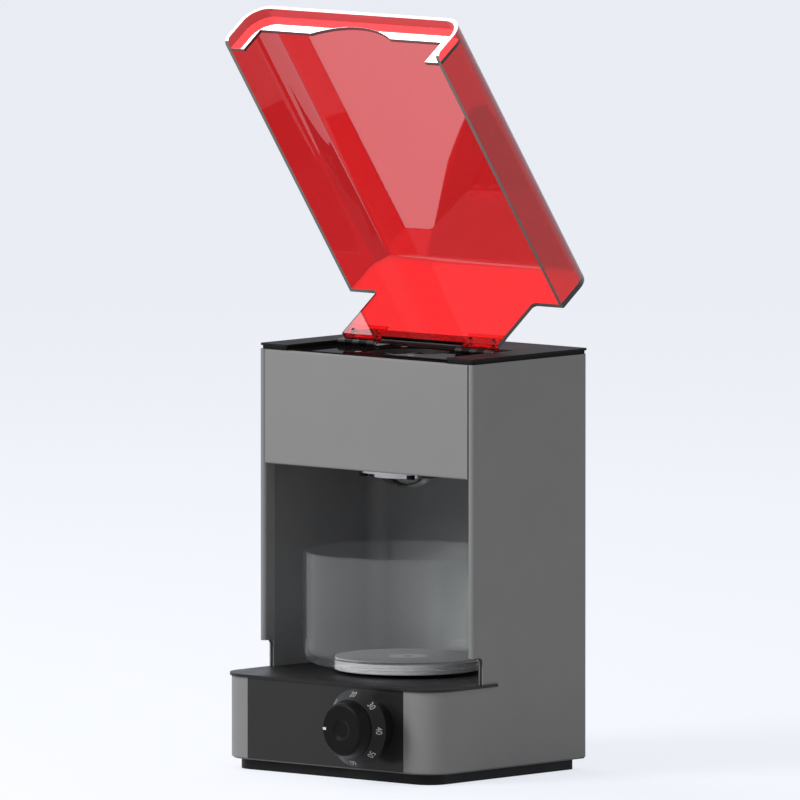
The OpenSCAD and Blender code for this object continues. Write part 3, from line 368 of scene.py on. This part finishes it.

# %% [markdown]
# ## See-through finishes
# The hood is clear red cast acrylic: light that passes the sheet turns bright red, and light
# that passes two sheets turns darker. The hood's roof is painted a little brighter than its
# front, as painted light, and the outside of its side walls is painted darker, as painted shade
# that deepens where the wall is seen at a slant. The dish and the lens are glass. Their
# roughness varies a little, as on wiped surfaces. The dish hardly bends the light, because a
# blown wall is thin and even: its index is low, a trace of haze fills the wall, and a thin coat
# gives it the gloss.
#
# Two masks say where a coat lies. The hood has its sheen only above the end frame, and the
# dish only on its upright wall. The hood is drawn open here, so its places are first turned
# back to the closed hood, where they are easy to name.

# %% Where the closed hood is
hinge = next(joint for joint in frame["joints"] if joint["name"] == "hood_hinge")
pin = Vector(hinge["pos_m"])
close = Matrix.Rotation(math.radians(-hinge["range_deg"][0]), 4, "X")
closed_up = close.to_3x3().inverted() @ Vector((0, 0, 1))
tower_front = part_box("front_fascia")[0][1]
sill_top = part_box("floor_plate")[1][2]
frame_top = max((close @ (v.co - pin) + pin).z for v in nodes["hood_end_frame"].data.vertices)
print("end frame", round((frame_top - sill_top) / mm, 1), "mm above the sill in the closed hood")

# %% A mask for the part of the sheet above the end frame
above_frame, _, last = shader_group("above_end_frame", (), [("Mask", "NodeSocketFloat")])
height = add(above_frame, "ShaderNodeVectorMath", operation="DOT_PRODUCT")
above_frame.links.new(add(above_frame, "ShaderNodeTexCoord").outputs["Object"], height.inputs[0])
height.inputs[1].default_value = closed_up
level = add(above_frame, "ShaderNodeMath", operation="GREATER_THAN")
above_frame.links.new(height.outputs["Value"], level.inputs[0])
level.inputs[1].default_value = closed_up.dot(pin) + frame_top - pin.z
above_frame.links.new(level.outputs[0], last.inputs["Mask"])
print("mask", above_frame.name)

# %% A mask for the dish's upright wall
wall_coat, floor_coat = 0.3, 0.0
upright, _, last = shader_group("upright_walls", (), [("Mask", "NodeSocketFloat")])
facing = add(upright, "ShaderNodeSeparateXYZ")
upright.links.new(add(upright, "ShaderNodeTexCoord").outputs["Normal"], facing.inputs[0])
level = add(upright, "ShaderNodeMath", operation="ABSOLUTE")
upright.links.new(facing.outputs["Z"], level.inputs[0])
share = add(upright, "ShaderNodeMapRange")
upright.links.new(level.outputs[0], share.inputs["Value"])
share.inputs["To Min"].default_value = wall_coat
share.inputs["To Max"].default_value = floor_coat
upright.links.new(share.outputs[0], last.inputs["Mask"])
print("mask", upright.name)

# %% Acrylic and glass
def clear(name, light, dark, ior, rough, coat=0.0, coat_by=None, coat_rough=0.03, coat_ior=1.5,
          metallic=0.0, clearness=1.0, slant_shade=None):
    material = bpy.data.materials.new(name)
    material.use_nodes = True
    tree = material.node_tree
    shader = tree.nodes["Principled BSDF"]
    shader.inputs["Transmission Weight"].default_value = clearness
    shader.inputs["IOR"].default_value = ior
    shader.inputs["Metallic"].default_value = metallic
    shader.inputs["Coat Weight"].default_value = coat
    shader.inputs["Coat Roughness"].default_value = coat_rough
    shader.inputs["Coat IOR"].default_value = coat_ior
    effect = set_effect(tree, skin, light, dark, rough)
    tone = effect.outputs["Color"]
    # Painted shade: with a slant tone the colour darkens where the surface is seen at a slant.
    if slant_shade:
        slant = add(tree, "ShaderNodeLayerWeight")
        slant.inputs["Blend"].default_value = 0.5
        deeper = add(tree, "ShaderNodeMix", data_type="RGBA")
        feed(tree, deeper.inputs["Factor"], ranged(tree, slant.outputs["Facing"], 0.0, 1.0))
        feed(tree, deeper.inputs["A"], tone)
        deeper.inputs["B"].default_value = (*slant_shade, 1)
        tone = deeper.outputs["Result"]
    tree.links.new(tone, shader.inputs["Base Color"])
    tree.links.new(effect.outputs["Roughness"], shader.inputs["Roughness"])
    if coat_by:
        gloss = add(tree, "ShaderNodeGroup", node_tree=coat_by)
        tree.links.new(gloss.outputs["Mask"], shader.inputs["Coat Weight"])
    material.diffuse_color = (*light, 1)
    return material

acrylic_ior, thin_wall_ior, glass_ior, wiped = 1.49, 1.01, 1.47, (0.0, 0.004)
red_acrylic = clear("red_acrylic", (0.82, 0.022, 0.024), (0.8, 0.02, 0.022), acrylic_ior, wiped,
                    coat_by=above_frame, coat_ior=1.6)
# Painted shade: the outside of the side walls is a darker red than the sheet, darker still at a slant.
painted_shade_acrylic = clear("red_acrylic_painted_shade", (0.5, 0.02, 0.022), (0.48, 0.018, 0.02), acrylic_ior, wiped,
                     slant_shade=(0.1, 0.012, 0.014))
# Painted light: the roof, and the hinge leaves below, are a brighter red than the front.
painted_light_acrylic = clear("red_acrylic_painted_light", (1.0, 0.04, 0.042), (1.0, 0.036, 0.038), acrylic_ior, wiped)
dish_glass = clear("dish_glass", (0.95, 0.96, 0.96), (0.94, 0.95, 0.95), thin_wall_ior, wiped,
                   coat_by=upright, coat_rough=0.08, clearness=0.975)
lens_glass = clear("lens_glass", (0.96, 0.97, 0.98), (0.94, 0.95, 0.96), glass_ior, wiped,
                   coat=1.0, metallic=0.3)
# Painted shade: the sawn edges' dark grey stands for the shade on them.
sawn_edge_painted_shade = finish("sawn_acrylic_edge_painted_shade", skin, (0.21, 0.18, 0.165), (0.17, 0.145, 0.135), (0.35, 0.5),
                  2200, specular=0.3)
# Painted shade: the end frame's edges are a dark red.
frame_edge_painted_shade = finish("frame_edge_painted_shade", skin, (0.2, 0.05, 0.05), (0.16, 0.04, 0.04), (0.35, 0.5), 2200,
                    specular=0.3)
# Painted light: the white end edge glows a little, though it is no lamp.
glowing_end_edge = finish("polished_acrylic_edge_painted_glow", skin, grey(0.95), grey(0.9), (0.15, 0.25), 2200,
                    own_light=0.4)
print(len(bpy.data.materials), "finishes")

# %% [markdown]
# ## Dressing the pieces
# Every node of the frame takes the finish of the real piece.

# %% Give each piece its finish
wear = {
    gray_powder: ["outer_shell", "front_fascia", "rear_panel"],
    black_powder: ["floor_plate"],
    cover_powder: ["top_cover", "cover_spacer"],
    plinth_powder: ["plinth"],
    liner_paint_and_shade: ["chamber_liner", "lamp_deck", "base_plate"],
    panel_gloss: ["control_panel"],
    deck_gloss: ["hinge_deck"],
    knob_plastic: ["timer_knob"],
    dial_plastic: ["timer_dial"],
    black_plastic: ["fan_frame", "fan_rotor", "power_inlet", "driver_parts"],
    board_lacquer: ["led_board", "driver_board"],
    white_plastic: ["knob_pointer", "led_chips"],
    black_oxide: ["deck_hinge_leaves", "deck_hinge_screws", "hub_screw"],
    screw_black: ["lamp_screws", "hood_hinge_screws"],
    bare_alloy: ["heat_sink", "lamp_reflector", "timer_mechanism"],
    table_alloy: ["turntable_disc"],
    cap_alloy: ["hub_cap"],
    zinc_steel: ["rear_panel_screws", "plinth_screws", "lamp_posts", "fan_screws", "driver_posts",
                 "timer_nut", "timer_shaft", "turntable_motor", "motor_screws", "motor_shaft",
                 "hinge_pins"],
    chrome: ["hood_end_frame"],
    bezel_chrome: ["lamp_bezel"],
    brass: ["inlet_pins"],
    red_acrylic: ["hood_shell", "hood_hinge_leaves"],
    dish_glass: ["glass_dish"],
    lens_glass: ["lamp_lens"],
}
for material, names in wear.items():
    for name in names:
        for slot in nodes[name].material_slots:
            slot.material = material
print(sum(len(names) for names in wear.values()), "pieces dressed")

# %% [markdown]
# ## The hood's cut edges
# Acrylic sheet is clear on its faces, but its edges tell how it was cut: the long edges are
# sawn and look dull, and their dark grey is painted shade. The lower end, which closes on
# the sill, is polished white and glows a little, which is painted light. The roof is painted a
# lighter red and the outside of the side walls a darker red, as painted light and shade. The
# hood therefore needs five finishes, the end frame two and the hinge leaves two, but a solid
# of the frame has one. A copy of its mesh takes its place. Each face of the copy is turned
# back to the closed hood, where its direction and its place tell which finish it has. In the
# closed hood the front is upright, y runs back into the tower, and the roof lies on top.

# %% Copies whose faces carry more than one finish
weld_reach, crease_angle = 0.001 * mm, math.radians(30)

def welded_copy(name):
    mesh = nodes[name].data.copy()
    work = bmesh.new()
    work.from_mesh(mesh)
    bmesh.ops.remove_doubles(work, verts=work.verts, dist=weld_reach)
    work.to_mesh(mesh)
    work.free()
    mesh.attributes.remove(mesh.attributes["custom_normal"])
    mesh.shade_smooth()
    mesh.set_sharp_from_angle(angle=crease_angle)
    return mesh

def recut(name, new_name, kind_of, finishes):
    mesh = welded_copy(name)
    mesh.materials.clear()
    for material in finishes:
        mesh.materials.append(material)
    for face in mesh.polygons:
        face.material_index = kind_of(close.to_3x3() @ face.normal, close @ (face.center - pin) + pin)
    piece = bpy.data.objects.new(new_name, mesh)
    bpy.context.scene.collection.objects.link(piece)
    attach(piece, "hood")
    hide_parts(name)
    kinds = [face.material_index for face in mesh.polygons]
    print(new_name, "faces of each finish:", [kinds.count(kind) for kind in range(len(finishes))])
    return piece

# %% The hood: sheet, sawn edge in painted shade, white end edge with a painted glow, roof in painted light and the outside of its side walls in painted shade
end_reach, edge_reach, seat, roof_reach = 6 * mm, 6 * mm, 0.4 * mm, 3 * mm
tongue_foot = tower_front + 20 * mm
square_on, sideways = 0.7, 0.25
sheet, sawn, white_end, roof, outer_side = range(5)
hood_finishes = (red_acrylic, sawn_edge_painted_shade, glowing_end_edge, painted_light_acrylic, painted_shade_acrylic)

# The roof takes painted light, the sawn edge and the outside of the side walls take painted shade, and
# the white end edge a painted glow.
def hood_kind(out, place):
    if out.z < -square_on and place.z < sill_top + end_reach:
        return white_end
    if out.y > square_on and place.y > tongue_foot:
        return roof
    if out.y > square_on and place.y > tower_front - edge_reach:
        return sawn
    if abs(out.z) < square_on and place.y > tower_front - seat:
        return sawn
    if place.z > pin.z - roof_reach:
        return roof
    if abs(out.x) > sideways and out.x * place.x > 0:
        return outer_side
    return sheet

hood = recut("hood_shell", "hood_with_edges", hood_kind, hood_finishes)

# %% The end frame's dull edges, dark red as painted shade, and the hinge leaves' black knuckles
knuckle_reach = 2.4 * mm

def frame_kind(out, place):
    return 0 if abs(out.z) > square_on else 1

def leaf_kind(out, place):
    from_pin = math.hypot(place.y - pin.y, place.z - pin.z)
    return 1 if from_pin < knuckle_reach else 0

recut("hood_end_frame", "end_frame_with_edges", frame_kind, (chrome, frame_edge_painted_shade))
# The hinge leaves take the roof's brighter red, which is painted light.
leaves = recut("hood_hinge_leaves", "leaves_with_knuckles", leaf_kind, (painted_light_acrylic, screw_black))

# %% [markdown]
# ## Numbers on the dial
# The timer's dial carries plain white numbers in steps of ten minutes, printed on its cone
# with their feet towards the grip. Each number starts as flat text, becomes a mesh, and is
# then bent onto the cone: its height follows the slope and its width follows the circle.

# %% Print the numbers
dial_low, dial_high = (Vector(corner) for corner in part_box("timer_dial"))
dial_centre = (dial_low + dial_high) / 2
cone_depth, cone_front_r, rim_r = 7.2 * mm, 20.9 * mm, (dial_high.x - dial_low.x) / 2
slope = Vector((rim_r - cone_front_r, cone_depth))
number_height, number_middle, number_width_share, ink = 4.7 * mm, 5.1 * mm, 0.82, 0.06 * mm
number_count, minutes_step, degrees_step, first_degrees = 7, 10, 45, -90
letter_depth, letter_steps = 0.02, 4

def number_mesh(text):
    curve = bpy.data.curves.new("number", "FONT")
    curve.body = text
    curve.align_x = "CENTER"
    curve.extrude = letter_depth
    curve.resolution_u = letter_steps
    flat = bpy.data.objects.new("number", curve)
    bpy.context.scene.collection.objects.link(flat)
    bpy.context.view_layer.update()
    mesh = bpy.data.meshes.new_from_object(flat.evaluated_get(bpy.context.evaluated_depsgraph_get()))
    bpy.data.objects.remove(flat)
    return mesh

def bend_on_cone(mesh, angle):
    heights = [v.co.y for v in mesh.vertices]
    size = number_height / (max(heights) - min(heights))
    middle = (max(heights) + min(heights)) / 2
    along = slope.normalized()
    middle_r = cone_front_r + along.x * number_middle
    for v in mesh.vertices:
        up_slope = number_middle + (v.co.y - middle) * size
        turn = angle + v.co.x * size * number_width_share / middle_r
        lift = ink if v.co.z > 0 else -ink / 2
        r = cone_front_r + along.x * up_slope + along.y * lift
        y = dial_low.y + along.y * up_slope - along.x * lift
        v.co = (dial_centre.x + r * math.sin(turn), y, dial_centre.z + r * math.cos(turn))

for step in range(number_count):
    mesh = number_mesh(str(step * minutes_step))
    bend_on_cone(mesh, math.radians(first_degrees + degrees_step * step))
    mesh.materials.clear()
    mesh.materials.append(number_ink)
    number = bpy.data.objects.new(f"dial_number_{step * minutes_step}", mesh)
    bpy.context.scene.collection.objects.link(number)
    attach(number, "cabinet")
print("numbers 0 to 60 on a slope of", round(slope.length / mm, 1), "mm")

# %% [markdown]
# ## Ridges round the lamp's screws
# The four screws that hold the lamp's bezel have knurled heads, so fingers grip them when the
# lens is changed. A knurl is one ridge repeated round a circle, which is what Geometry Nodes
# are for: a circle of points, a thin upright bar on each of them, and one material.

# %% Where the screw heads are
screw_points = [v.co for v in nodes["lamp_screws"].data.vertices]
screw_low = min(point.z for point in screw_points)
lamp_low, lamp_high = (Vector(corner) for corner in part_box("lamp_screws"))
lamp_middle = (lamp_low + lamp_high) / 2

def head_box(sign_x, sign_y):
    own = [p for p in screw_points
           if (p.x - lamp_middle.x) * sign_x > 0 and (p.y - lamp_middle.y) * sign_y > 0]
    return [(min(p[axis] for p in own), max(p[axis] for p in own)) for axis in (0, 1)]

heads = [head_box(sign_x, sign_y) for sign_x in (-1, 1) for sign_y in (-1, 1)]
head_radius = (heads[0][0][1] - heads[0][0][0]) / 2
print(len(heads), "heads of", round(2 * head_radius / mm, 2), "mm")

# %% The ridge tree
ridge_count, bar_sides = 24, 8
ridge_radius, ridge_height, ridge_up = 0.12 * mm, 2 * mm, 1.5 * mm
ridge_inputs = {"Count": ridge_count, "Ring Radius": head_radius - ridge_radius,
                "Ridge Radius": ridge_radius, "Ridge Height": ridge_height}
ring = bpy.data.node_groups.new("ridge_ring", "GeometryNodeTree")
for label, value in ridge_inputs.items():
    kind = "NodeSocketInt" if label == "Count" else "NodeSocketFloat"
    ring.interface.new_socket(label, in_out="INPUT", socket_type=kind).default_value = value
ring.interface.new_socket("Ridges", in_out="OUTPUT", socket_type="NodeSocketGeometry")
first, last = add(ring, "NodeGroupInput"), add(ring, "NodeGroupOutput")
circle = add(ring, "GeometryNodeMeshCircle")
bar = add(ring, "GeometryNodeMeshCylinder")
bar.inputs["Vertices"].default_value = bar_sides
spread = add(ring, "GeometryNodeInstanceOnPoints")
solid = add(ring, "GeometryNodeRealizeInstances")
dress = add(ring, "GeometryNodeSetMaterial")
dress.inputs["Material"].default_value = screw_black
for source, target in ((first.outputs["Count"], circle.inputs["Vertices"]),
                       (first.outputs["Ring Radius"], circle.inputs["Radius"]),
                       (first.outputs["Ridge Radius"], bar.inputs["Radius"]),
                       (first.outputs["Ridge Height"], bar.inputs["Depth"]),
                       (circle.outputs["Mesh"], spread.inputs["Points"]),
                       (bar.outputs["Mesh"], spread.inputs["Instance"]),
                       (spread.outputs["Instances"], solid.inputs["Geometry"]),
                       (solid.outputs["Geometry"], dress.inputs["Geometry"]),
                       (dress.outputs["Geometry"], last.inputs["Ridges"])):
    ring.links.new(source, target)
print("tree", ring.name, "with", len(ring.nodes), "nodes")

# %% One ring becomes a mesh
carrier = bpy.data.objects.new("ridge_carrier", bpy.data.meshes.new("ridge_carrier"))
bpy.context.scene.collection.objects.link(carrier)
modifier = carrier.modifiers.new("ridges", "NODES")
modifier.node_group = ring
for item in ring.interface.items_tree:
    if item.name in ridge_inputs:
        modifier[item.identifier] = ridge_inputs[item.name]
bpy.context.view_layer.update()
one_ring = bpy.data.meshes.new_from_object(carrier.evaluated_get(bpy.context.evaluated_depsgraph_get()))
carrier.modifiers.remove(modifier)
bpy.data.objects.remove(carrier)
print("one ring:", len(one_ring.polygons), "faces")

# %% Each screw gets a copy of the ring
rings = bmesh.new()
for (x_low, x_high), (y_low, y_high) in heads:
    copy = one_ring.copy()
    head_middle = ((x_low + x_high) / 2, (y_low + y_high) / 2, screw_low + ridge_up)
    copy.transform(Matrix.Translation(head_middle))
    rings.from_mesh(copy)
    bpy.data.meshes.remove(copy)
rings.to_mesh(one_ring)
rings.free()
knurls = bpy.data.objects.new("lamp_screw_knurls", one_ring)
bpy.context.scene.collection.objects.link(knurls)
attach(knurls, "cabinet")
print(len(one_ring.polygons), "faces of ridges, head radius", round(head_radius / mm, 2), "mm")

# %% [markdown]
# ## Clear pieces throw no hard shadow
# Red and clear sheets let light through, but a path tracer draws their shadows nearly black.
# These pieces therefore throw none.

# %% Shadows off
for piece in (hood, leaves, nodes["glass_dish"], nodes["lamp_lens"]):
    piece.visible_shadow = False
print("four clear pieces without shadow")
